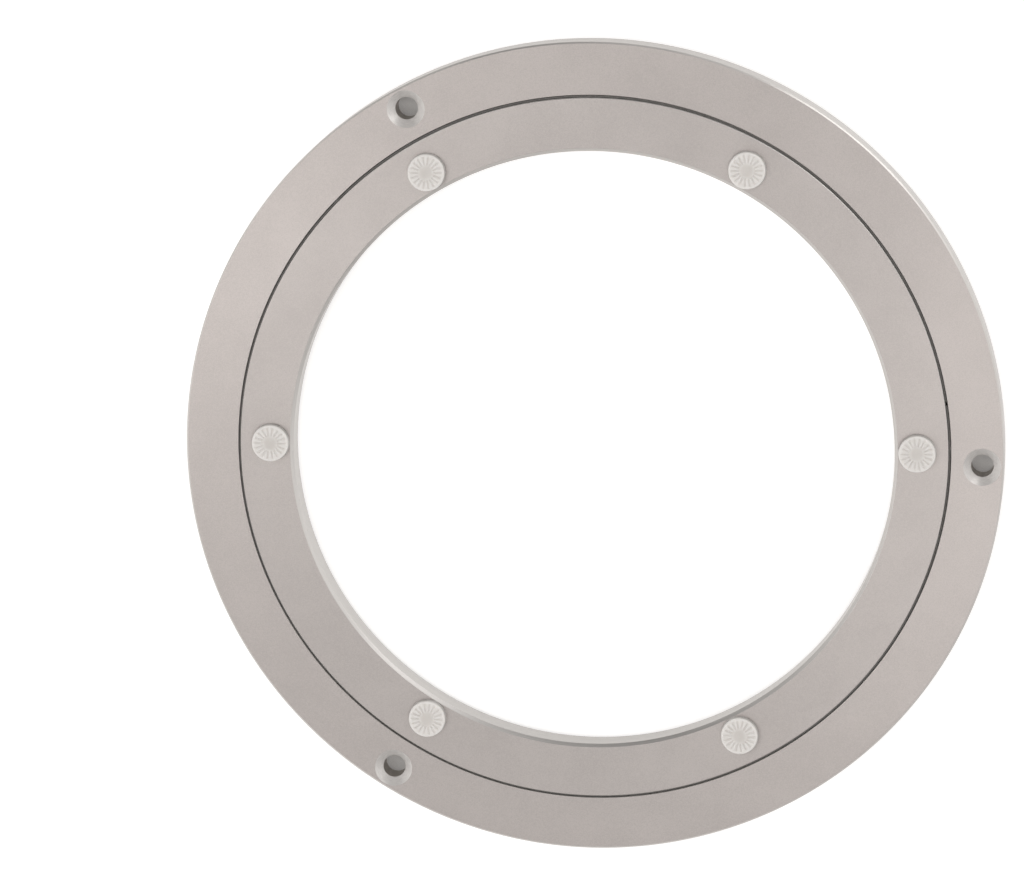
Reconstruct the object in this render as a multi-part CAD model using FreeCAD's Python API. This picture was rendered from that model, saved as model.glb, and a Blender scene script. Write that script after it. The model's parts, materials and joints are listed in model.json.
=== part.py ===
import FreeCAD, Part
import math
import os

# A flat turntable bearing: two turned aluminium rings, one inside the other, that share a ball race
# in the narrow gap between them. The outer ring lies on its back face and is screwed down through
# three countersunk holes. The inner ring turns on the balls and carries a plate on six clear ribbed
# pads. The frame: +Z up along the turning axis, origin on that axis in the outer ring's back face.
# Lengths are in millimetres and angles in degrees, counted from +X towards +Y.

# the two rings
bore_diameter = 147.0
inner_ring_width = 13.0
ring_gap = 0.6
outer_ring_width = 12.9
ring_height = 8.0
inner_ring_lift = 0.5
edge_chamfer = 0.4
bore_front_chamfer = 0.8
lip_chamfer = 0.12

# the balls and the groove that each ring holds for them
ball_diameter = 4.75
ball_count = 24
first_ball_angle = 0.0
race_clearance = 0.1
groove_to_ball_ratio = 1.05

# the strip cage that spaces the balls
cage_thickness = 0.36
cage_web = 0.65
window_clearance = 0.1
cage_end_gap = 0.8

# the screw holes in the outer ring
screw_hole_count = 3
screw_hole_from_rim = 5.3
screw_hole_diameter = 5.5
screw_head_diameter = 9.2
screw_head_angle = 90.0
first_screw_angle = -2.5

# the plug that closes the ball filling hole in the inner ring, and the dowel that keeps it there
filler_hole_diameter = 5.3
plug_clearance = 0.02
plug_angle = 90.0
dowel_diameter = 1.5
dowel_length = 4.0
dowel_recess = 0.2
dowel_from_bore = 5.0

# the pads, stuck on by hand, so each lies a little off its even place
pad_from_bore = 5.5
pad_diameter = 9.3
pad_height = 2.0
pad_draft = 0.15
pad_edge_radius = 0.4
pad_off_place = (-0.4, 0.6, -0.5, -1.6, -2.1, -3.7)
rib_count = 18
rib_groove_width = 0.4
rib_groove_depth = 0.25
rib_groove_start = 1.9
rib_groove_end = 3.9

axis_up = FreeCAD.Vector(0, 0, 1)
bore_radius = bore_diameter / 2
inner_wall_radius = bore_radius + inner_ring_width
race_radius = inner_wall_radius + ring_gap / 2
outer_wall_radius = inner_wall_radius + ring_gap
outer_radius = outer_wall_radius + outer_ring_width
screw_circle_radius = outer_radius - screw_hole_from_rim
pad_circle_radius = bore_radius + pad_from_bore
inner_back = inner_ring_lift
inner_front = inner_ring_lift + ring_height
race_height = (inner_back + ring_height) / 2
ball_radius = ball_diameter / 2
groove_radius = ball_radius * groove_to_ball_ratio
groove_centre_offset = ball_radius + race_clearance - groove_radius
ball_step = 360.0 / ball_count
through = 1.0


def at(radius, height):
    """A point of a ring's section, in the XZ plane."""
    return FreeCAD.Vector(radius, 0, height)


def polar(radius, angle, height=0.0):
    """The point at that radius and angle round the turning axis."""
    turn = math.radians(angle)
    return FreeCAD.Vector(radius * math.cos(turn), radius * math.sin(turn), height)


def outward(angle):
    """The direction away from the turning axis at that angle."""
    return polar(1.0, angle)


def revolved(edges):
    """The solid that a closed section in the XZ plane makes when it turns about the axis."""
    section = Part.Face(Part.Wire(Part.__sortEdges__(edges)))
    return section.revolve(FreeCAD.Vector(0, 0, 0), axis_up, 360)


def ring_blank(race_wall, far_wall, side, back, front_chamfer):
    """A turned ring before drilling: a flat section with chamfered corners and half the ball race.

    side is 1 for a ring outside the race, whose body lies further out than its race wall, and -1
    for one inside it. front_chamfer is the size of the far wall's chamfer at the front.
    """
    front = back + ring_height
    groove_centre = race_radius + side * groove_centre_offset
    groove_bottom = groove_centre + side * groove_radius
    half_mouth = math.sqrt(groove_radius**2 - (race_wall - groove_centre) ** 2)
    corners = [
        at(race_wall, race_height + half_mouth),
        at(race_wall, front - lip_chamfer),
        at(race_wall + side * lip_chamfer, front),
        at(far_wall - side * front_chamfer, front),
        at(far_wall, front - front_chamfer),
        at(far_wall, back + edge_chamfer),
        at(far_wall - side * edge_chamfer, back),
        at(race_wall + side * lip_chamfer, back),
        at(race_wall, back + lip_chamfer),
        at(race_wall, race_height - half_mouth),
    ]
    edges = [Part.LineSegment(a, b).toShape() for a, b in zip(corners, corners[1:])]
    groove = Part.Arc(corners[-1], at(groove_bottom, race_height), corners[0])
    return revolved(edges + [groove.toShape()])


def screw_hole(angle):
    """The drill and countersink of one screw hole, with the wide end at the front face."""
    top = ring_height + through
    drill = Part.makeCylinder(
        screw_hole_diameter / 2, ring_height + 2 * through, polar(screw_circle_radius, angle, -through)
    )
    slope = math.tan(math.radians(screw_head_angle / 2))
    cone_depth = (screw_head_diameter - screw_hole_diameter) / 2 / slope
    sink = Part.makeCone(
        screw_hole_diameter / 2,
        screw_head_diameter / 2 + through * slope,
        cone_depth + through,
        polar(screw_circle_radius, angle, top - through - cone_depth),
    )
    return drill.fuse(sink)


def make_outer_ring():
    """The fixed ring, with its countersunk screw holes."""
    ring = ring_blank(outer_wall_radius, outer_radius, 1, 0.0, edge_chamfer)
    angles = [first_screw_angle + k * 360.0 / screw_hole_count for k in range(screw_hole_count)]
    return ring.cut([screw_hole(angle) for angle in angles])


def filler_cylinder(radius):
    """A cylinder of that radius along the filling hole, from inside the bore to the ball race."""
    start = polar(bore_radius - through, plug_angle, race_height)
    return Part.makeCylinder(radius, race_radius - bore_radius + through, start, outward(plug_angle))


def dowel_cylinder(radius, start_height, length):
    """A cylinder of that radius where the dowel stands, upwards from that height."""
    return Part.makeCylinder(radius, length, polar(bore_radius + dowel_from_bore, plug_angle, start_height))


def make_inner_ring_set():
    """The turning ring with its filling hole, and the plug and dowel that close it."""
    blank = ring_blank(inner_wall_radius, bore_radius, -1, inner_back, bore_front_chamfer)
    dowel_top = dowel_recess + dowel_length
    dowel_hole = dowel_cylinder(dowel_diameter / 2 + plug_clearance, inner_back - through, through + dowel_top)
    ring = blank.cut([filler_cylinder(filler_hole_diameter / 2), dowel_hole])
    plug = blank.common(filler_cylinder(filler_hole_diameter / 2 - plug_clearance)).cut(dowel_hole)
    dowel = dowel_cylinder(dowel_diameter / 2, inner_back + dowel_recess, dowel_length - plug_clearance)
    return ring, plug, dowel


def ball_angles():
    """The angle of each ball round the race."""
    return [first_ball_angle + k * ball_step for k in range(ball_count)]


def make_ball(angle):
    """One ball, on the race's centre circle."""
    return Part.makeSphere(ball_radius, polar(race_radius, angle, race_height))


def make_cage():
    """A thin strip bent into a hoop inside the gap, with a round window for each ball."""
    window_radius = ball_radius + window_clearance
    half_height = window_radius + cage_web
    base = at(0, race_height - half_height)
    hoop = Part.makeCylinder(race_radius + cage_thickness / 2, 2 * half_height, base)
    core = Part.makeCylinder(race_radius - cage_thickness / 2, 2 * half_height, base)
    windows = [
        Part.makeCylinder(
            window_radius,
            cage_thickness + 2 * through,
            polar(race_radius - cage_thickness / 2 - through, angle, race_height),
            outward(angle),
        )
        for angle in ball_angles()
    ]
    end_gap = Part.makeBox(
        cage_thickness + 2 * through,
        cage_end_gap,
        2 * (half_height + through),
        FreeCAD.Vector(race_radius - cage_thickness / 2 - through, -cage_end_gap / 2, -half_height - through),
    )
    end_gap.rotate(FreeCAD.Vector(0, 0, 0), axis_up, first_ball_angle + ball_step / 2)
    end_gap.translate(FreeCAD.Vector(0, 0, race_height))
    return hoop.cut([core] + windows + [end_gap])


def pad_shape():
    """One clear pad at the origin: a low drafted disc with radial grooves round its plain middle."""
    base_radius = pad_diameter / 2
    top_radius = base_radius - pad_draft
    shoulder = at(top_radius - pad_edge_radius, pad_height)
    below_shoulder = at(top_radius, pad_height - pad_edge_radius)
    bulge = pad_edge_radius * math.sin(math.radians(45))
    on_edge = at(shoulder.x + bulge, below_shoulder.z + bulge)
    edges = [
        Part.LineSegment(at(0, pad_height), shoulder).toShape(),
        Part.Arc(shoulder, on_edge, below_shoulder).toShape(),
        Part.LineSegment(below_shoulder, at(base_radius, 0)).toShape(),
        Part.LineSegment(at(base_radius, 0), at(0, 0)).toShape(),
        Part.LineSegment(at(0, 0), at(0, pad_height)).toShape(),
    ]
    grooves = []
    for k in range(rib_count):
        groove = Part.makeBox(
            rib_groove_end - rib_groove_start,
            rib_groove_width,
            rib_groove_depth + through,
            FreeCAD.Vector(rib_groove_start, -rib_groove_width / 2, pad_height - rib_groove_depth),
        )
        groove.rotate(FreeCAD.Vector(0, 0, 0), axis_up, k * 360.0 / rib_count)
        grooves.append(groove)
    return revolved(edges).cut(grooves)


def placed_pad(pad, angle):
    """A copy of the pad on the inner ring's front face, turned to face along its radius."""
    copy = pad.copy()
    copy.rotate(FreeCAD.Vector(0, 0, 0), axis_up, angle)
    copy.translate(polar(pad_circle_radius, angle, inner_front))
    return copy


def save(name, shape):
    """Writes one named piece as its own STEP file."""
    shape.exportStep(os.path.join("parts", name + ".step"))


def main():
    """Builds every piece and writes it."""
    os.makedirs("parts", exist_ok=True)
    save("outer_ring", make_outer_ring())
    ring, plug, dowel = make_inner_ring_set()
    save("inner_ring", ring)
    save("filler_plug", plug)
    save("plug_dowel", dowel)
    save("ball_cage", make_cage())
    for number, angle in enumerate(ball_angles(), 1):
        save(f"ball_{number:02d}", make_ball(angle))
    pad = pad_shape()
    for number, off_place in enumerate(pad_off_place):
        even_place = number * 360.0 / len(pad_off_place)
        save(f"pad_{number + 1}", placed_pad(pad, even_place + off_place))


main()
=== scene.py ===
"""The looks of a flat lazy susan bearing: two satin aluminium rings, six clear ribbed pads, caged balls.

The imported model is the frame. The two rings and the pads are remade here as fine meshes in the same places,
and the plug, dowel, cage and balls keep their own solids and get their finishes.
"""

import json
import logging
import math
from dataclasses import dataclass
from enum import Enum
from typing import Sequence

import bmesh
import bpy
from mathutils import Matrix, Vector


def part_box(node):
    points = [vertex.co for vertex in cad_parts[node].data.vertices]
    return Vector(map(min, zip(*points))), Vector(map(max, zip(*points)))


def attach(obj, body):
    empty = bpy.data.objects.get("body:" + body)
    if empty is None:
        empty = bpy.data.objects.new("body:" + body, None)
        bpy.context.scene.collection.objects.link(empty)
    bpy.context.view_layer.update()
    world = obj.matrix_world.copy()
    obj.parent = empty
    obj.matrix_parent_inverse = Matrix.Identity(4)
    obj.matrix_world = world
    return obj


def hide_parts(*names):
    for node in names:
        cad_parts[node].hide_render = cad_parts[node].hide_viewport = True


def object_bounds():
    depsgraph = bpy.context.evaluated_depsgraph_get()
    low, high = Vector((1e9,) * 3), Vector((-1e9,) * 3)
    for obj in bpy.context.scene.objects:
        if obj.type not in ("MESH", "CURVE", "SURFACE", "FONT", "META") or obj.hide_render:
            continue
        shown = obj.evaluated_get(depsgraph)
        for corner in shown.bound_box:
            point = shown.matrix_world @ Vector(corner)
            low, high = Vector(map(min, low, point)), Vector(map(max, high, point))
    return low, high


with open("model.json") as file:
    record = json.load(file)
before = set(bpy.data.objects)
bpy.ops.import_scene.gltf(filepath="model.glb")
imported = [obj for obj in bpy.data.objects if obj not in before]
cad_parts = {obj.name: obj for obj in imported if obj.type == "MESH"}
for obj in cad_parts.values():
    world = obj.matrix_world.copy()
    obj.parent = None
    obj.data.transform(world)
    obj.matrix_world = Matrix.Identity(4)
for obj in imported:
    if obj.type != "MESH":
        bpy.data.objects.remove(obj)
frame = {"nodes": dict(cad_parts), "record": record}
cad_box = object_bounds()

log = logging.getLogger("turntable_bearing")

MM = 0.001
Point = tuple[float, float]
Span = tuple[float, float]
Colour = tuple[float, float, float]
Socket = bpy.types.NodeSocket

# the maps that the finishes read: round a ring and across its marks, and the share of a pad's painted rim
# highlight from its middle to its rim
TURNING_MAP = "turning"
PAINTED_RIM_LIGHT_MAP = "rim"
MAP_UNIT = 10 * MM

# the colour sockets of a Mix node, whose names repeat for each kind of value
MIX_LOW = 6
MIX_HIGH = 7
MIX_RESULT = 2

# turned by a quarter, a drawn-out gloss lies across the turning marks
QUARTER_TURN = 0.25

# points of a turned mesh that lie nearer than this are one point
WELD = 1e-8

RING_GAP = 0.6 * MM


def mount(name: str) -> dict:
    """The record's mount of that name."""
    return next(m for m in frame["record"]["mounts"] if m["name"] == name)


def reach(node: str) -> float:
    """How far from the turning axis a round node reaches, in metres."""
    low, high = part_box(node)
    return max(high[0], high[1], -low[0], -low[1])


class Wiring:
    """A node tree under construction."""

    def __init__(self, tree: bpy.types.NodeTree) -> None:
        """Starts on an existing tree, whose nodes are cleared."""
        self.tree = tree
        tree.nodes.clear()

    def add(self, kind: str, inputs: dict | None = None, **settings: object) -> bpy.types.Node:
        """Adds a node.

        Args:
            kind: Blender's name for the node's type.
            inputs: a value, or another node's output, for each input by name or number.
            settings: values for the node's own properties.

        Returns:
            The new node.
        """
        node = self.tree.nodes.new(kind)
        for name, value in settings.items():
            setattr(node, name, value)
        for key, value in (inputs or {}).items():
            if isinstance(value, Socket):
                self.tree.links.new(value, node.inputs[key])
            else:
                node.inputs[key].default_value = value
        return node

    def math(self, operation: str, *values: object) -> Socket:
        """The result of a Math node on these values or outputs."""
        return self.add("ShaderNodeMath", dict(enumerate(values)), operation=operation).outputs[0]

    def ramp(self, value: Socket, span: Sequence[object], low: float = 0.0, high: float = 1.0) -> Socket:
        """A smooth step of value over a span.

        Args:
            value: the output that is stepped.
            span: the values, or outputs, at which the step begins and ends.
            low: the result up to the span's start.
            high: the result from the span's end on.

        Returns:
            The step's output.
        """
        inputs = {"Value": value, "From Min": span[0], "From Max": span[1], "To Min": low, "To Max": high}
        return self.add("ShaderNodeMapRange", inputs, interpolation_type="SMOOTHSTEP").outputs["Result"]

    def noise(self, place: Socket, size: float, detail: float = 3.0) -> Socket:
        """Noise from 0 to 1 with spots of about that size, and finer layers by detail."""
        inputs = {"Vector": place, "Scale": 1 / size, "Detail": detail}
        return self.add("ShaderNodeTexNoise", inputs).outputs["Fac"]

    def blend(self, share: Socket, low: Colour, high: Colour) -> Socket:
        """Mixes two colours.

        Args:
            share: the output with the share of the second colour.
            low: the colour where the share is 0.
            high: the colour where the share is 1.

        Returns:
            The mixed colour's output.
        """
        mix = self.add("ShaderNodeMix", {"Factor": share}, data_type="RGBA")
        mix.inputs[MIX_LOW].default_value = (*low, 1.0)
        mix.inputs[MIX_HIGH].default_value = (*high, 1.0)
        return mix.outputs[MIX_RESULT]

    def bump(self, height: Socket, depth: float) -> Socket:
        """The normal of a surface whose height goes from 0 to that depth."""
        inputs = {"Height": height, "Distance": depth, "Strength": 1.0}
        return self.add("ShaderNodeBump", inputs).outputs["Normal"]

    def tangent(self) -> Socket:
        """The direction of the turning marks."""
        return self.add("ShaderNodeTangent", direction_type="UV_MAP", uv_map=TURNING_MAP).outputs[0]

    def surface(self, inputs: dict) -> None:
        """Ends a material's tree in a principled surface with these inputs."""
        shader = self.add("ShaderNodeBsdfPrincipled", inputs)
        self.add("ShaderNodeOutputMaterial", {"Surface": shader.outputs[0]})


def new_material(name: str) -> tuple[bpy.types.Material, Wiring]:
    """Starts a node material.

    Args:
        name: the material's name.

    Returns:
        The material and its wiring.
    """
    material = bpy.data.materials.new(name)
    material.use_nodes = True
    return material, Wiring(material.node_tree)


@dataclass(frozen=True)
class BlastedAluminium:
    """The fine satin of bead-blasted, clear-anodised aluminium, on a face that was turned on a lathe."""

    name: str
    light: Colour = (0.472, 0.430, 0.408)
    dark: Colour = (0.408, 0.372, 0.353)
    roughness: Span = (0.36, 0.45)
    turned: float = 0.0
    grain_size: float = 0.22 * MM
    grain_depth: float = 0.012 * MM
    grain_share: float = 0.75
    cloud_size: float = 14.0 * MM
    tint_span: Span = (0.36, 0.64)
    gloss_span: Span = (0.3, 0.7)

    def material(self) -> bpy.types.Material:
        """Makes the finish.

        Returns:
            The material. Where turned is above 0, its gloss is drawn out across the turning marks.
        """
        material, w = new_material(self.name)
        place = w.add("ShaderNodeTexCoord").outputs["Object"]
        grain = w.noise(place, self.grain_size)
        cloud = w.math("MULTIPLY", w.noise(place, self.cloud_size, detail=4.0), 1 - self.grain_share)
        shade = w.math("MULTIPLY_ADD", grain, self.grain_share, cloud)
        inputs = {
            "Base Color": w.blend(w.ramp(shade, self.tint_span), self.dark, self.light),
            "Roughness": w.ramp(grain, self.gloss_span, *self.roughness),
            "Normal": w.bump(grain, self.grain_depth),
            "Metallic": 1.0,
        }
        if self.turned:
            inputs["Tangent"] = w.tangent()
            inputs["Anisotropic"] = self.turned
            inputs["Anisotropic Rotation"] = QUARTER_TURN
        w.surface(inputs)
        return material


@dataclass(frozen=True)
class TurnedAluminium:
    """Aluminium with the fine ridges that a lathe or a countersink leaves round the piece."""

    name: str
    light: Colour
    dark: Colour
    roughness: Span
    anisotropy: float = 0.0
    ridge_pitch: float = 0.16 * MM
    ridge_depth: float = 0.004 * MM
    wander: float = 3.0
    ridge_span: Span = (0.3, 0.7)

    def material(self) -> bpy.types.Material:
        """Makes the finish.

        Returns:
            The material. Its ridges follow the turning map, across the map's second direction.
        """
        material, w = new_material(self.name)
        marks = w.add("ShaderNodeUVMap", uv_map=TURNING_MAP).outputs["UV"]
        split = w.add("ShaderNodeSeparateXYZ", {"Vector": marks})
        across = w.math("MULTIPLY", split.outputs["Y"], MAP_UNIT / self.ridge_pitch)
        along = w.math("MULTIPLY", split.outputs["X"], self.wander)
        place = w.add("ShaderNodeCombineXYZ", {"X": across, "Y": along}).outputs[0]
        ridges = w.noise(place, 1.0, detail=2.0)
        w.surface(
            {
                "Base Color": w.blend(w.ramp(ridges, self.ridge_span), self.dark, self.light),
                "Roughness": w.ramp(ridges, self.ridge_span, *self.roughness),
                "Normal": w.bump(ridges, self.ridge_depth),
                "Tangent": w.tangent(),
                "Anisotropic": self.anisotropy,
                "Anisotropic Rotation": QUARTER_TURN,
                "Metallic": 1.0,
            }
        )
        return material


@dataclass(frozen=True)
class ClearRubber:
    """The milky clear rubber of a stuck-on pad."""

    name: str = "clear_rubber"
    # the rim colour is lighter than the middle's: a painted highlight standing in for light that comes
    # through the pad's side
    rim: Colour = (0.68, 0.65, 0.62)
    middle: Colour = (0.59, 0.555, 0.522)
    roughness: Span = (0.35, 0.45)
    ior: float = 1.46
    clearness: float = 0.05
    milkiness: float = 0.8
    milk_depth: float = 1.9 * MM
    milk_spread: Colour = (1.0, 1.0, 1.0)
    # painted shade: the pad's side is darker below these heights
    painted_side_shade: float = 0.72
    side_span: Span = (9.8 * MM, 10.3 * MM)
    cloud_size: float = 1.6 * MM
    cloud_share: float = 0.12
    cloud_span: Span = (0.35, 0.65)
    gloss_span: Span = (0.3, 0.7)

    def material(self) -> bpy.types.Material:
        """Makes the finish.

        Returns:
            The material. Its colour is lighter towards the rim, by the rim map, as a painted highlight, and
            darker down the pad's side as painted shade.
        """
        material, w = new_material(self.name)
        place = w.add("ShaderNodeTexCoord").outputs["Object"]
        cloud = w.noise(place, self.cloud_size)
        # the rim map gives the share of painted rim highlight
        painted_rim_light = w.add("ShaderNodeAttribute", attribute_name=PAINTED_RIM_LIGHT_MAP).outputs["Fac"]
        share = w.math("ADD", painted_rim_light, w.ramp(cloud, self.cloud_span, -self.cloud_share, self.cloud_share))
        tint = w.blend(share, self.middle, self.rim)
        # painted shade: the colour is darker down the pad's side, by height
        height = w.add("ShaderNodeSeparateXYZ", {"Vector": place}).outputs["Z"]
        shade = w.ramp(height, self.side_span, self.painted_side_shade, 1.0)
        painted_shade_tint = w.add("ShaderNodeVectorMath", {"Vector": tint, "Scale": shade}, operation="SCALE")
        w.surface(
            {
                "Base Color": painted_shade_tint.outputs[0],
                "Roughness": w.ramp(cloud, self.gloss_span, *self.roughness),
                "IOR": self.ior,
                "Transmission Weight": self.clearness,
                "Subsurface Weight": self.milkiness,
                "Subsurface Radius": self.milk_spread,
                "Subsurface Scale": self.milk_depth,
            }
        )
        return material


@dataclass(frozen=True)
class Nylon:
    """Moulded nylon with a faint grain and a film of grease."""

    name: str = "grey_nylon"
    colour: Colour = (0.135, 0.125, 0.115)
    worn: Colour = (0.18, 0.168, 0.156)
    roughness: Span = (0.48, 0.58)
    grain_size: float = 0.5 * MM
    worn_span: Span = (0.4, 0.7)
    gloss_span: Span = (0.3, 0.7)

    def material(self) -> bpy.types.Material:
        """Makes the finish.

        Returns:
            The material.
        """
        material, w = new_material(self.name)
        grain = w.noise(w.add("ShaderNodeTexCoord").outputs["Object"], self.grain_size)
        w.surface(
            {
                "Base Color": w.blend(w.ramp(grain, self.worn_span), self.colour, self.worn),
                "Roughness": w.ramp(grain, self.gloss_span, *self.roughness),
            }
        )
        return material


@dataclass(frozen=True)
class Steel:
    """Hardened steel, from a ball's polish to a drawn dowel's dull skin."""

    name: str
    colour: Colour
    roughness: Span
    stain_size: float = 1.5 * MM
    stain_depth: float = 0.2
    stain_share: float = 0.35
    stain_span: Span = (0.35, 0.75)
    gloss_span: Span = (0.3, 0.8)

    def material(self) -> bpy.types.Material:
        """Makes the finish.

        Returns:
            The material.
        """
        material, w = new_material(self.name)
        stain = w.noise(w.add("ShaderNodeTexCoord").outputs["Object"], self.stain_size, detail=4.0)
        share = w.ramp(stain, self.stain_span, 0.0, self.stain_share)
        stained = tuple((1 - self.stain_depth) * part for part in self.colour)
        w.surface(
            {
                "Base Color": w.blend(share, self.colour, stained),
                "Roughness": w.ramp(stain, self.gloss_span, *self.roughness),
                "Metallic": 1.0,
            }
        )
        return material


class Zone(Enum):
    """The parts of a ring's surface that have a finish of their own. The value is the material's place."""

    FACE = 0
    WALL = 1
    CHAMFER = 2
    CONE = 3
    DRILLED = 4


@dataclass(frozen=True)
class RingFinishes:
    """The finishes that both rings share, which are all but their faces'."""

    wall: TurnedAluminium = TurnedAluminium(
        "turned_aluminium", (0.585, 0.565, 0.545), (0.505, 0.487, 0.47), (0.42, 0.48), anisotropy=0.8
    )
    chamfer: TurnedAluminium = TurnedAluminium(
        "chamfered_aluminium", (0.53, 0.505, 0.485), (0.46, 0.44, 0.42), (0.28, 0.34), anisotropy=0.3
    )
    cone: TurnedAluminium = TurnedAluminium(
        "countersunk_aluminium", (0.75, 0.72, 0.695), (0.62, 0.595, 0.575), (0.43, 0.49), anisotropy=0.7
    )
    drilled: TurnedAluminium = TurnedAluminium(
        "drilled_aluminium", (0.50, 0.46, 0.425), (0.40, 0.37, 0.34), (0.42, 0.48)
    )

    def materials(self) -> list[bpy.types.Material]:
        """The materials in the order of Zone, after the face's."""
        return [finish.material() for finish in (self.wall, self.chamfer, self.cone, self.drilled)]


def soften(corners: Sequence[Point], cut: float) -> list[Point]:
    """Rounds each inner corner of an open outline with a small curve.

    Args:
        corners: the outline's points as (radius, height).
        cut: how far from a corner its curve begins.

    Returns:
        The outline with three points in place of each inner corner.
    """
    rounded = [corners[0]]
    for before, corner, after in zip(corners, corners[1:], corners[2:]):
        here = Vector(corner)
        first = here + (Vector(before) - here).normalized() * cut
        last = here + (Vector(after) - here).normalized() * cut
        middle = (first + 2 * here + last) / 4
        rounded += [tuple(first), tuple(middle), tuple(last)]
    return rounded + [corners[-1]]


def lathe(name: str, outline: Sequence[Point], segments: int, closed: bool) -> bpy.types.Mesh:
    """Turns an outline about the Z axis.

    Args:
        name: the mesh's name.
        outline: points as (radius, height). An open outline starts and ends on the axis.
        segments: how many steps the turn has.
        closed: whether the outline's last point joins its first.

    Returns:
        A closed mesh with its faces pointing outwards.
    """
    bm = bmesh.new()
    rings = []
    for step in range(segments):
        turn = 2 * math.pi * step / segments
        rings.append([bm.verts.new((r * math.cos(turn), r * math.sin(turn), z)) for r, z in outline])
    count = len(outline)
    spans = range(count if closed else count - 1)
    for step, ring in enumerate(rings):
        following = rings[(step + 1) % segments]
        for k in spans:
            n = (k + 1) % count
            bm.faces.new((ring[k], following[k], following[n], ring[n]))
    bmesh.ops.remove_doubles(bm, verts=bm.verts, dist=WELD)
    bmesh.ops.recalc_face_normals(bm, faces=bm.faces)
    mesh = bpy.data.meshes.new(name)
    bm.to_mesh(mesh)
    bm.free()
    return mesh


def show(name: str, mesh: bpy.types.Mesh) -> bpy.types.Object:
    """Puts a mesh in the scene, at the origin.

    Args:
        name: the new object's name.
        mesh: its mesh.

    Returns:
        The object.
    """
    piece = bpy.data.objects.new(name, mesh)
    bpy.context.scene.collection.objects.link(piece)
    return piece


def settle(piece: bpy.types.Object) -> None:
    """Turns a piece and its modifiers into one plain mesh.

    Args:
        piece: the object, which keeps its name and loses its modifiers.
    """
    graph = bpy.context.evaluated_depsgraph_get()
    mesh = bpy.data.meshes.new_from_object(piece.evaluated_get(graph), depsgraph=graph)
    mesh.name = piece.name
    piece.modifiers.clear()
    piece.data = mesh


def geometry_tree(name: str, sockets: dict[str, str]) -> tuple[Wiring, bpy.types.Node]:
    """Starts a geometry tree with named inputs.

    Args:
        name: the tree's name.
        sockets: each input's name and its kind, such as Float.

    Returns:
        The tree's wiring and its input node. The geometry comes in and goes out as Geometry.
    """
    tree = bpy.data.node_groups.new(name, "GeometryNodeTree")
    tree.is_modifier = True
    tree.interface.new_socket(name="Geometry", in_out="OUTPUT", socket_type="NodeSocketGeometry")
    tree.interface.new_socket(name="Geometry", in_out="INPUT", socket_type="NodeSocketGeometry")
    for title, kind in sockets.items():
        tree.interface.new_socket(name=title, in_out="INPUT", socket_type="NodeSocket" + kind)
    w = Wiring(tree)
    return w, w.add("NodeGroupInput")


def close_tree(w: Wiring, geometry: Socket, material: Socket) -> bpy.types.NodeTree:
    """Ends a geometry tree in plain geometry with one material.

    Args:
        w: the tree's wiring.
        geometry: the output with the finished shape.
        material: the output with its material.

    Returns:
        The tree.
    """
    made = w.add("GeometryNodeRealizeInstances", {"Geometry": geometry})
    dressed = w.add("GeometryNodeSetMaterial", {"Geometry": made.outputs[0], "Material": material})
    w.add("NodeGroupOutput", {"Geometry": dressed.outputs[0]})
    return w.tree


def grow(piece: bpy.types.Object, tree: bpy.types.NodeTree, values: dict[str, object]) -> None:
    """Puts a geometry tree on a piece and settles it.

    Args:
        piece: the object whose mesh goes into the tree.
        tree: the geometry tree.
        values: a value for each of the tree's named inputs.
    """
    modifier = piece.modifiers.new(tree.name, "NODES")
    modifier.node_group = tree
    for item in tree.interface.items_tree:
        if item.in_out == "INPUT" and item.name in values:
            modifier[item.identifier] = values[item.name]
    settle(piece)


def drilling_tree() -> bpy.types.NodeTree:
    """Makes the tree that drills and countersinks evenly spaced holes round a ring.

    Returns:
        The tree.
    """
    w, given = geometry_tree(
        "screw_holes",
        {
            "Count": "Int",
            "Circle Radius": "Float",
            "First Angle": "Float",
            "Drill Radius": "Float",
            "Head Radius": "Float",
            "Front": "Float",
            "Overrun": "Float",
            "Segments": "Int",
            "Material": "Material",
        },
    )
    get = given.outputs
    length = w.math("ADD", get["Front"], w.math("MULTIPLY", get["Overrun"], 2.0))
    drill = w.add(
        "GeometryNodeMeshCylinder",
        {"Vertices": get["Segments"], "Radius": get["Drill Radius"], "Depth": length},
    )
    middle = w.add("ShaderNodeCombineXYZ", {"Z": w.math("MULTIPLY", get["Front"], 0.5)})
    drill_placed = w.add(
        "GeometryNodeTransform", {"Geometry": drill.outputs["Mesh"], "Translation": middle.outputs[0]}
    )
    depth = w.math("SUBTRACT", get["Head Radius"], get["Drill Radius"])
    sink = w.add(
        "GeometryNodeMeshCone",
        {
            "Vertices": get["Segments"],
            "Radius Top": w.math("ADD", get["Head Radius"], get["Overrun"]),
            "Radius Bottom": get["Drill Radius"],
            "Depth": w.math("ADD", depth, get["Overrun"]),
        },
    )
    floor = w.add("ShaderNodeCombineXYZ", {"Z": w.math("SUBTRACT", get["Front"], depth)})
    sink_placed = w.add(
        "GeometryNodeTransform", {"Geometry": sink.outputs["Mesh"], "Translation": floor.outputs[0]}
    )
    circle = w.add("GeometryNodeMeshCircle", {"Vertices": get["Count"], "Radius": get["Circle Radius"]})
    turn = w.add("ShaderNodeCombineXYZ", {"Z": get["First Angle"]})
    places = w.add("GeometryNodeTransform", {"Geometry": circle.outputs[0], "Rotation": turn.outputs[0]})
    cut = w.add(
        "GeometryNodeMeshBoolean", {"Mesh 1": get["Geometry"]}, operation="DIFFERENCE", solver="EXACT"
    )
    for tool in (drill_placed, sink_placed):
        spread = w.add(
            "GeometryNodeInstanceOnPoints", {"Points": places.outputs[0], "Instance": tool.outputs[0]}
        )
        real = w.add("GeometryNodeRealizeInstances", {"Geometry": spread.outputs[0]})
        w.tree.links.new(real.outputs[0], cut.inputs["Mesh 2"])
    return close_tree(w, cut.outputs["Mesh"], get["Material"])


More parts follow.
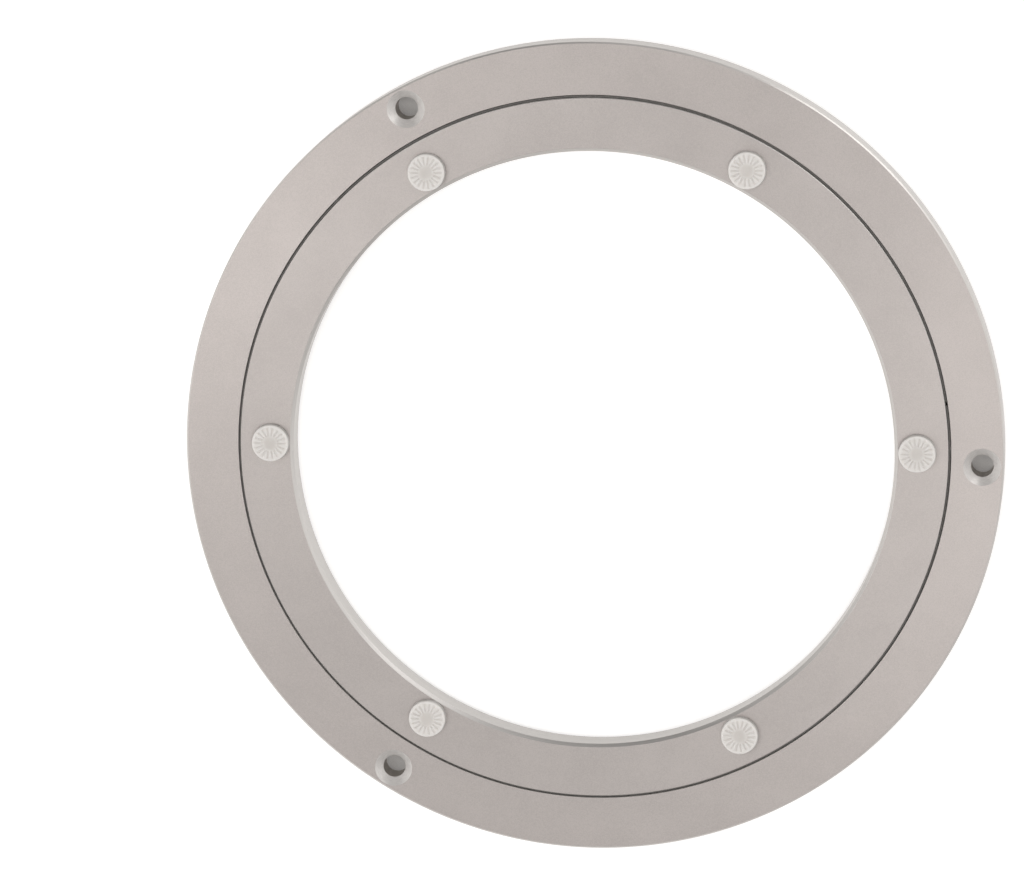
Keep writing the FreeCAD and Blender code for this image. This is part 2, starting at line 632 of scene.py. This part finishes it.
def rib_tree() -> bpy.types.NodeTree:
    """Makes the tree that presses radial grooves into a pad's top and sets the pad in its place.

    Returns:
        The tree. It also writes the rim map, the share of the pad's painted rim highlight.
    """
    w, given = geometry_tree(
        "pad_ribs",
        {
            "Count": "Int",
            "Start Radius": "Float",
            "End Radius": "Float",
            "Half Width": "Float",
            "Flank": "Float",
            "Depth": "Float",
            "Top": "Float",
            "Still Pressed": "Float",
            "No Longer Pressed": "Float",
            "Middle Radius": "Float",
            "Middle Share": "Float",
            "Rim Radius": "Float",
            "Turn": "Float",
            "Place": "Vector",
            "Material": "Material",
        },
    )
    get = given.outputs
    split = w.add("ShaderNodeSeparateXYZ", {"Vector": w.add("GeometryNodeInputPosition").outputs[0]})
    x, y, z = split.outputs
    radius = w.math("SQRT", w.math("ADD", w.math("MULTIPLY", x, x), w.math("MULTIPLY", y, y)))
    turns = w.math("DIVIDE", w.math("ARCTAN2", y, x), 2 * math.pi)
    step = w.math("MULTIPLY", turns, get["Count"])
    off_line = w.math("ABSOLUTE", w.math("SUBTRACT", step, w.math("ROUND", step)))
    swept = w.math("MULTIPLY", w.math("MULTIPLY", off_line, radius), 2 * math.pi)
    arc = w.math("DIVIDE", swept, get["Count"])
    flank = (w.math("MULTIPLY", get["Flank"], -1.0), get["Flank"])
    groove = w.ramp(w.math("SUBTRACT", arc, get["Half Width"]), flank, 1.0, 0.0)
    begin = w.ramp(w.math("SUBTRACT", radius, get["Start Radius"]), flank, 0.0, 1.0)
    end = w.ramp(w.math("SUBTRACT", radius, get["End Radius"]), flank, 1.0, 0.0)
    below = w.math("SUBTRACT", get["Top"], z)
    upper = w.ramp(below, (get["Still Pressed"], get["No Longer Pressed"]), 1.0, 0.0)
    drop = w.math("MULTIPLY", w.math("MULTIPLY", groove, begin), w.math("MULTIPLY", end, upper))
    sunk = w.math("MULTIPLY", w.math("MULTIPLY", drop, get["Depth"]), -1.0)
    offset = w.add("ShaderNodeCombineXYZ", {"Z": sunk})
    # the rim map: the share of painted rim highlight, low in the middle and full at the rim
    rim = w.ramp(radius, (get["Middle Radius"], get["Rim Radius"]), get["Middle Share"], 1.0)
    marked = w.add(
        "GeometryNodeStoreNamedAttribute",
        {"Geometry": get["Geometry"], "Name": PAINTED_RIM_LIGHT_MAP, "Value": rim},
        data_type="FLOAT",
        domain="POINT",
    )
    pressed = w.add("GeometryNodeSetPosition", {"Geometry": marked.outputs[0], "Offset": offset.outputs[0]})
    turn = w.add("ShaderNodeCombineXYZ", {"Z": get["Turn"]})
    placed = w.add(
        "GeometryNodeTransform",
        {"Geometry": pressed.outputs[0], "Rotation": turn.outputs[0], "Translation": get["Place"]},
    )
    return close_tree(w, placed.outputs[0], get["Material"])


@dataclass(frozen=True)
class Race:
    """The groove for the balls, half in each ring, worked out from a ball and the gap it runs in."""

    ball_radius: float
    circle_radius: float
    height: float
    clearance: float = 0.1 * MM
    groove_to_ball: float = 1.05
    steps: int = 20

    def outline(self, wall_radius: float, side: int) -> list[Point]:
        """The groove's outline in one ring.

        Args:
            wall_radius: the radius of the ring's wall at the gap.
            side: 1 for the ring outside the gap, -1 for the one inside it.

        Returns:
            Points from the groove's lower lip to its upper lip.
        """
        groove = self.ball_radius * self.groove_to_ball
        centre = self.circle_radius + side * (self.ball_radius + self.clearance - groove)
        lip = math.acos(side * (wall_radius - centre) / groove)
        angles = [lip * (2 * k / self.steps - 1) for k in range(self.steps + 1)]
        return [(centre + side * groove * math.cos(a), self.height + groove * math.sin(a)) for a in angles]


@dataclass(frozen=True)
class Ring:
    """One aluminium ring: a flat chamfered section, turned, with half of the ball race in its gap wall."""

    node: str
    body: str
    gap_radius: float
    far_radius: float
    back: float
    front: float
    front_chamfer: float
    face: BlastedAluminium
    shared: Sequence[bpy.types.Material]
    back_chamfer: float = 0.4 * MM
    lip_chamfer: float = 0.12 * MM
    corner_cut: float = 0.04 * MM
    segments: int = 360
    sharp_angle: float = math.radians(30)
    flat_weight: int = 100
    flat_above: float = 0.9
    slanted_above: float = 0.3
    upright_below: float = 0.1

    @property
    def side(self) -> int:
        """1 where the ring lies outside the gap, -1 where it lies inside it."""
        return 1 if self.far_radius > self.gap_radius else -1

    def blank(self, race: Race) -> bpy.types.Object:
        """Turns the ring before any drilling.

        Args:
            race: the groove that goes into the ring's gap wall.

        Returns:
            The ring as an object in the scene.
        """
        groove = race.outline(self.gap_radius, self.side)
        near, far = self.gap_radius, self.far_radius
        corners = [
            groove[-1],
            (near, self.front - self.lip_chamfer),
            (near + self.side * self.lip_chamfer, self.front),
            (far - self.side * self.front_chamfer, self.front),
            (far, self.front - self.front_chamfer),
            (far, self.back + self.back_chamfer),
            (far - self.side * self.back_chamfer, self.back),
            (near + self.side * self.lip_chamfer, self.back),
            (near, self.back + self.lip_chamfer),
            groove[0],
        ]
        outline = soften(corners, self.corner_cut) + groove[1:-1]
        return show(self.node + "_turned", lathe(self.node, outline, self.segments, closed=True))

    def finish(self, piece: bpy.types.Object, holes: Sequence[Vector], head_radius: float) -> None:
        """Gives the drilled ring its zones, turning map and smooth edges.

        Args:
            piece: the ring, as a plain mesh.
            holes: the axis of each screw hole.
            head_radius: how far from a hole's axis its countersink reaches.
        """
        mesh = piece.data
        mesh.materials.clear()
        for material in (self.face.material(), *self.shared):
            mesh.materials.append(material)
        turning = mesh.uv_layers.new(name=TURNING_MAP)
        for face in mesh.polygons:
            zone, centre = self.zone_of(face, holes, head_radius)
            face.material_index = zone.value
            middle = math.atan2(face.center.y - centre.y, face.center.x - centre.x)
            for corner in face.loop_indices:
                spot = mesh.vertices[mesh.loops[corner].vertex_index].co
                turn = math.atan2(spot.y - centre.y, spot.x - centre.x)
                turn = middle + (turn - middle + math.pi) % (2 * math.pi) - math.pi
                radius = math.hypot(spot.x - centre.x, spot.y - centre.y)
                turning.data[corner].uv = (turn, (radius + spot.z) / MAP_UNIT)
        mesh.shade_smooth()
        mesh.set_sharp_from_angle(angle=self.sharp_angle)
        even = piece.modifiers.new("even_normals", "WEIGHTED_NORMAL")
        even.keep_sharp = True
        even.weight = self.flat_weight
        settle(piece)

    def zone_of(
        self, face: bpy.types.MeshPolygon, holes: Sequence[Vector], head_radius: float
    ) -> tuple[Zone, Vector]:
        """Sorts a face into its zone.

        Args:
            face: the face.
            holes: the axis of each screw hole.
            head_radius: how far from a hole's axis its countersink reaches.

        Returns:
            The zone, and the centre that its turning marks go round.
        """
        level = abs(face.normal.z)
        for hole in holes:
            near = (face.center.xy - hole.xy).length < head_radius
            if near and level < self.upright_below:
                return Zone.DRILLED, hole
            if near and self.upright_below < face.normal.z < self.flat_above:
                return Zone.CONE, hole
        zone = Zone.WALL
        if level > self.flat_above:
            zone = Zone.FACE
        elif level > self.slanted_above:
            zone = Zone.CHAMFER
        return zone, Vector((0.0, 0.0, 0.0))

    def keep(self, piece: bpy.types.Object) -> None:
        """Rides the piece on the ring's body and hides the plain solid behind it.

        Args:
            piece: the finished ring.
        """
        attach(piece, self.body)
        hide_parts(self.node)
        log.info("%s: %d faces", piece.name, len(piece.data.polygons))


@dataclass(frozen=True)
class OuterRing:
    """The fixed ring with its countersunk screw holes."""

    ring: Ring
    race: Race
    head_radius: float = 4.6 * MM
    head_margin: float = 0.01 * MM
    first_angle: float = math.radians(-2.5)
    hole_segments: int = 96
    overrun: float = 1.0 * MM

    def build(self) -> bpy.types.Object:
        """Turns, drills and dresses the ring.

        Returns:
            The finished piece.
        """
        pattern = mount("screw_holes")["dims"]
        circle = pattern["pcd_mm"] * MM / 2
        count = pattern["count"]
        piece = self.ring.blank(self.race)
        values = {
            "Count": count,
            "Circle Radius": circle,
            "First Angle": self.first_angle,
            "Drill Radius": pattern["hole_r_mm"] * MM,
            "Head Radius": self.head_radius,
            "Front": self.ring.front,
            "Overrun": self.overrun,
            "Segments": self.hole_segments,
            "Material": self.ring.shared[0],
        }
        grow(piece, drilling_tree(), values)
        turns = [self.first_angle + 2 * math.pi * k / count for k in range(count)]
        holes = [Vector((circle * math.cos(t), circle * math.sin(t), 0.0)) for t in turns]
        self.ring.finish(piece, holes, self.head_radius + self.head_margin)
        self.ring.keep(piece)
        return piece


@dataclass(frozen=True)
class InnerRing:
    """The turning ring, cross-drilled for the ball filling plug and its dowel."""

    ring: Ring
    race: Race
    filler_radius: float = 2.65 * MM
    dowel_clearance: float = 0.02 * MM
    overrun: float = 1.0 * MM
    segments: int = 64

    def build(self) -> bpy.types.Object:
        """Turns, bores and dresses the ring.

        Returns:
            The finished piece.
        """
        piece = self.ring.blank(self.race)
        cutters = [self.filler_cutter(), self.dowel_cutter()]
        for cutter in cutters:
            hole = piece.modifiers.new(cutter.name, "BOOLEAN")
            hole.operation = "DIFFERENCE"
            hole.solver = "EXACT"
            hole.object = cutter
        settle(piece)
        for cutter in cutters:
            bpy.data.objects.remove(cutter)
        self.ring.finish(piece, [], 0.0)
        self.ring.keep(piece)
        return piece

    def rod(self, name: str, radius: float, start: Vector, end: Vector) -> bpy.types.Object:
        """Makes a round rod between two points.

        Args:
            name: the rod's name.
            radius: its radius.
            start: the middle of one end.
            end: the middle of the other end.

        Returns:
            The rod, as a cutter in the scene.
        """
        length = (end - start).length
        outline = [(0.0, 0.0), (radius, 0.0), (radius, length), (0.0, length)]
        mesh = lathe(name, outline, self.segments, closed=False)
        aim = (end - start).to_track_quat("Z", "Y").to_matrix().to_4x4()
        mesh.transform(Matrix.Translation(start) @ aim)
        return show(name, mesh)

    def filler_cutter(self) -> bpy.types.Object:
        """Makes the filling hole's cutter.

        Returns:
            A rod from inside the bore to the race.
        """
        inside = Vector((0.0, self.ring.far_radius - self.overrun, self.race.height))
        outside = Vector((0.0, self.race.circle_radius, self.race.height))
        return self.rod("filling_hole", self.filler_radius, inside, outside)

    def dowel_cutter(self) -> bpy.types.Object:
        """Makes the cutter of the dowel's blind hole.

        Returns:
            A rod from under the ring to the dowel's top.
        """
        low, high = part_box("plug_dowel")
        centre = (Vector(low) + Vector(high)) / 2
        radius = (high[0] - low[0]) / 2 + self.dowel_clearance
        under = Vector((centre.x, centre.y, self.ring.back - self.overrun))
        top = Vector((centre.x, centre.y, high[2] + self.dowel_clearance))
        return self.rod("dowel_hole", radius, under, top)


@dataclass(frozen=True)
class Pad:
    """A clear moulded pad with radial ribs, stuck on the inner ring's front face."""

    node: str
    edge_round: float = 0.4 * MM
    edge_steps: int = 8
    draft: float = 0.15 * MM
    glue_height: float = 0.15 * MM
    glue_inset: float = 0.12 * MM
    foot_height: float = 0.21 * MM
    rib_count: int = 18
    groove_half_width: float = 0.2 * MM
    groove_flank: float = 0.26 * MM
    groove_depth: float = 0.25 * MM
    groove_start: float = 1.9 * MM
    groove_end: float = 3.9 * MM
    pressed_span: Span = (0.1 * MM, 0.5 * MM)
    # where the painted rim highlight begins and where it is full, and its share in the middle
    painted_light_span: Span = (0.9 * MM, 2.5 * MM)
    painted_light_middle_share: float = 0.15
    rows: int = 26
    steps_per_rib: int = 12
    sharp_angle: float = math.radians(50)

    def outline(self, radius: float, height: float) -> list[Point]:
        """The pad's section.

        Args:
            radius: the pad's largest radius.
            height: its height.

        Returns:
            Points from the middle of its back to the middle of its top.
        """
        shoulder = radius - self.draft
        base = radius - self.glue_inset
        points = [(0.0, 0.0), (base, 0.0), (base, self.glue_height), (radius, self.foot_height)]
        for k in range(self.edge_steps + 1):
            turn = math.pi / 2 * k / self.edge_steps
            across = shoulder - self.edge_round + self.edge_round * math.cos(turn)
            points.append((across, height - self.edge_round + self.edge_round * math.sin(turn)))
        flat = shoulder - self.edge_round
        points += [(flat * (1 - k / self.rows), height) for k in range(1, self.rows + 1)]
        return points

    def build(self, tree: bpy.types.NodeTree, material: bpy.types.Material) -> bpy.types.Object:
        """Moulds the pad in its place.

        Args:
            tree: the rib tree.
            material: the pad's rubber.

        Returns:
            The finished piece.
        """
        low, high = (Vector(corner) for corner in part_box(self.node))
        centre = (low + high) / 2
        radius = (high.x - low.x) / 2
        outline = self.outline(radius, high.z - low.z)
        mesh = lathe(self.node, outline, self.rib_count * self.steps_per_rib, closed=False)
        piece = show(self.node + "_moulded", mesh)
        values = {
            "Count": self.rib_count,
            "Start Radius": self.groove_start,
            "End Radius": self.groove_end,
            "Half Width": self.groove_half_width,
            "Flank": self.groove_flank,
            "Depth": self.groove_depth,
            "Top": high.z - low.z,
            "Still Pressed": self.pressed_span[0],
            "No Longer Pressed": self.pressed_span[1],
            "Middle Radius": self.painted_light_span[0],
            "Middle Share": self.painted_light_middle_share,
            "Rim Radius": self.painted_light_span[1],
            "Turn": math.atan2(centre.y, centre.x),
            "Place": (centre.x, centre.y, low.z),
            "Material": material,
        }
        grow(piece, tree, values)
        piece.data.shade_smooth()
        piece.data.set_sharp_from_angle(angle=self.sharp_angle)
        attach(piece, "turntable")
        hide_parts(self.node)
        log.info("%s: %d faces", piece.name, len(piece.data.polygons))
        return piece


@dataclass(frozen=True)
class InnerPieces:
    """The plug, dowel, cage and balls, which keep their own solids and get their finishes here."""

    plug: BlastedAluminium = BlastedAluminium(
        "faced_plug_aluminium", (0.575, 0.555, 0.535), (0.515, 0.497, 0.48), (0.32, 0.41)
    )
    dowel: Steel = Steel("drawn_dowel_steel", (0.46, 0.455, 0.45), (0.38, 0.46))
    ball: Steel = Steel("polished_ball_steel", (0.62, 0.62, 0.63), (0.10, 0.18))
    cage: Nylon = Nylon()

    def dress(self) -> None:
        """Puts each finish on its nodes."""
        steel = self.ball.material()
        self.paint("plug_dowel", self.dowel.material())
        self.paint("ball_cage", self.cage.material())
        self.paint("filler_plug", self.plug.material())
        for name in sorted(frame["nodes"]):
            if name.startswith("ball_") and name != "ball_cage":
                self.paint(name, steel)

    def paint(self, node: str, material: bpy.types.Material) -> None:
        """Puts a material in every slot of a CAD node.

        Args:
            node: the node's name.
            material: the material.
        """
        for slot in frame["nodes"][node].material_slots:
            slot.material = material
        log.info("%s: %s", node, material.name)


@dataclass(frozen=True)
class Lamp:
    """A soft lamp that faces the bearing's middle."""

    name: str
    watts: float
    place: Vector
    width: float = 0.6
    height: float = 0.6

    def hang(self) -> None:
        """Makes the lamp."""
        lamp = bpy.data.lights.new(self.name, "AREA")
        lamp.energy = self.watts
        lamp.shape = "RECTANGLE"
        lamp.size = self.width
        lamp.size_y = self.height
        holder = bpy.data.objects.new(self.name, lamp)
        holder.location = self.place
        holder.rotation_euler = (-self.place).to_track_quat("-Z", "Y").to_euler()
        holder.visible_camera = False
        bpy.context.scene.collection.objects.link(holder)


@dataclass(frozen=True)
class Studio:
    """The white floor, the soft light and the camera."""

    floor_half: float = 4.0
    floor_drop: float = 0.02 * MM
    floor_colour: Colour = (0.62, 0.605, 0.59)
    floor_lift: float = 0.56
    # the floor's glow is dimmed by ambient occlusion within this reach: painted shade near and under the
    # bearing
    painted_shade_reach: float = 7.0 * MM
    painted_shade_span: Span = (0.15, 0.5)
    painted_shade_samples: int = 8
    zenith: float = 0.87
    horizon: float = 0.55
    sky_span: Span = (0.0, 0.9)
    side_glow: float = 1.15
    side_turn: float = math.radians(22.0)
    side_power: float = 2.0
    side_span: Span = (0.1, 0.6)
    far_shade: float = 0.55
    far_turn: float = math.radians(98.0)
    far_power: float = 3.0
    far_span: Span = (0.1, 0.75)
    lamps: tuple[Lamp, ...] = (
        Lamp("left_lamp", 2.9, Vector((-0.75, 0.12, 1.28))),
        Lamp("right_lamp", 1.8, Vector((0.40, -0.17, 1.36))),
        Lamp("top_lamp", 0.7, Vector((-0.15, 0.42, 1.30)), width=0.4, height=0.4),
        Lamp("edge_lamp", 0.085, Vector((0.25, 0.28, 0.075)), width=0.18, height=0.06),
    )
    pitch: float = math.radians(11.0)
    yaw: float = math.radians(6.5)
    aim: Vector = Vector((-19.66 * MM, 1.36 * MM, 8.0 * MM))
    distance: float = 1.4023
    lens: float = 202.23
    sensor: float = 36.0

    def build(self) -> None:
        """Makes the whole studio."""
        self.make_floor()
        self.make_world()
        for lamp in self.lamps:
            lamp.hang()
        self.make_camera()
        bpy.context.scene.view_settings.view_transform = "Standard"

    def seen(self, w: Wiring) -> Socket:
        """Finds the rays that show the background, straight, in gloss or through glass.

        Args:
            w: the wiring of the material that asks.

        Returns:
            An output that is 1 for these rays, else 0.
        """
        path = w.add("ShaderNodeLightPath")
        either = w.math("MAXIMUM", path.outputs["Is Camera Ray"], path.outputs["Is Glossy Ray"])
        return w.math("MAXIMUM", either, path.outputs["Is Transmission Ray"])

    def make_floor(self) -> None:
        """A white floor that keeps the object's shadow, with its glow dimmed near and under the bearing as
        painted shade.
        """
        half = self.floor_half
        level = cad_box[0].z - self.floor_drop
        corners = [(-half, -half, level), (half, -half, level), (half, half, level), (-half, half, level)]
        mesh = bpy.data.meshes.new("floor")
        mesh.from_pydata(corners, [], [(0, 1, 2, 3)])
        material, w = new_material("white_floor")
        paint = w.add("ShaderNodeBsdfDiffuse", {"Color": (*self.floor_colour, 1.0)})
        # painted shade: the glow for camera, gloss and glass rays is dimmed by ambient occlusion, so it shows
        # near the bearing, in the walls' reflections and through the screw holes
        painted_shade_occlusion = w.add(
            "ShaderNodeAmbientOcclusion", {"Distance": self.painted_shade_reach}, samples=self.painted_shade_samples
        )
        painted_shade_lift = w.math("MULTIPLY", w.ramp(painted_shade_occlusion.outputs["AO"], self.painted_shade_span), self.floor_lift)
        glow = w.add("ShaderNodeEmission", {"Strength": w.math("MULTIPLY", self.seen(w), painted_shade_lift)})
        both = w.add("ShaderNodeAddShader", {0: paint.outputs[0], 1: glow.outputs[0]})
        w.add("ShaderNodeOutputMaterial", {"Surface": both.outputs[0]})
        mesh.materials.append(material)
        show("floor", mesh)

    def make_world(self) -> None:
        """A white room, lit low on its left and right and a little darker low on its far side."""
        world = bpy.data.worlds.new("studio")
        world.use_nodes = True
        bpy.context.scene.world = world
        w = Wiring(world.node_tree)
        way = w.add("ShaderNodeTexCoord").outputs["Generated"]
        x, y, height = w.add("ShaderNodeSeparateXYZ", {"Vector": way}).outputs
        side = w.math("POWER", self.towards(w, x, y, self.side_turn), self.side_power)
        side = w.math("MULTIPLY", side, w.ramp(height, self.side_span, self.side_glow, 0.0))
        far = w.math("MAXIMUM", self.towards(w, x, y, self.far_turn), 0.0)
        far = w.math("POWER", far, self.far_power)
        far = w.math("MULTIPLY", far, w.ramp(height, self.far_span, self.far_shade, 0.0))
        sky = w.ramp(height, self.sky_span, self.horizon, self.zenith)
        room = w.math("MULTIPLY", sky, w.math("SUBTRACT", 1.0, far))
        seen = w.add("ShaderNodeLightPath").outputs["Is Camera Ray"]
        strength = w.math("MAXIMUM", w.math("ADD", room, side), seen)
        light = w.add("ShaderNodeBackground", {"Color": (1.0, 1.0, 1.0, 1.0), "Strength": strength})
        w.add("ShaderNodeOutputWorld", {"Surface": light.outputs[0]})

    def towards(self, w: Wiring, x: Socket, y: Socket, turn: float) -> Socket:
        """How far a direction points towards that turn about the vertical, from -1 to 1."""
        return w.math("MULTIPLY_ADD", y, math.sin(turn), w.math("MULTIPLY", x, math.cos(turn)))

    def make_camera(self) -> None:
        """The camera, above the bearing and leaning to its upper right."""
        lens = bpy.data.cameras.new("camera")
        lens.lens = self.lens
        lens.sensor_width = self.sensor
        camera = bpy.data.objects.new("camera", lens)
        turn = Matrix.Rotation(-self.pitch, 4, "X") @ Matrix.Rotation(self.yaw, 4, "Y")
        back = turn.to_3x3() @ Vector((0.0, 0.0, 1.0))
        camera.matrix_world = Matrix.Translation(self.aim + self.distance * back) @ turn
        bpy.context.scene.collection.objects.link(camera)
        bpy.context.scene.camera = camera


def build_bearing() -> None:
    """Builds every piece of the bearing from the frame's sizes."""
    shared = RingFinishes().materials()
    outer_low, outer_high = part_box("outer_ring")
    inner_low, inner_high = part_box("inner_ring")
    ball_low, ball_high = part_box("ball_01")
    gap_inside = reach("inner_ring")
    race = Race(
        ball_radius=(ball_high[2] - ball_low[2]) / 2,
        circle_radius=gap_inside + RING_GAP / 2,
        height=(ball_high[2] + ball_low[2]) / 2,
    )
    outer = Ring(
        node="outer_ring",
        body="base",
        gap_radius=gap_inside + RING_GAP,
        far_radius=reach("outer_ring"),
        back=outer_low[2],
        front=outer_high[2],
        front_chamfer=0.4 * MM,
        face=BlastedAluminium("outer_face_aluminium", turned=0.6),
        shared=shared,
    )
    inner = Ring(
        node="inner_ring",
        body="turntable",
        gap_radius=gap_inside,
        far_radius=mount("centre_bore")["dims"]["r_mm"] * MM,
        back=inner_low[2],
        front=inner_high[2],
        front_chamfer=0.8 * MM,
        face=BlastedAluminium(
            "inner_face_aluminium", (0.457, 0.418, 0.397), (0.397, 0.363, 0.345), turned=0.45
        ),
        shared=shared,
    )
    OuterRing(outer, race).build()
    InnerRing(inner, race).build()
    ribs = rib_tree()
    rubber = ClearRubber().material()
    for name in sorted(frame["nodes"]):
        if name.startswith("pad_"):
            Pad(name).build(ribs, rubber)
    InnerPieces().dress()


def main() -> None:
    """Builds the bearing and its studio, and reports each piece."""
    logging.basicConfig(level=logging.INFO, format="%(name)s: %(message)s")
    build_bearing()
    Studio().build()


if __name__ == "__main__":
    main()
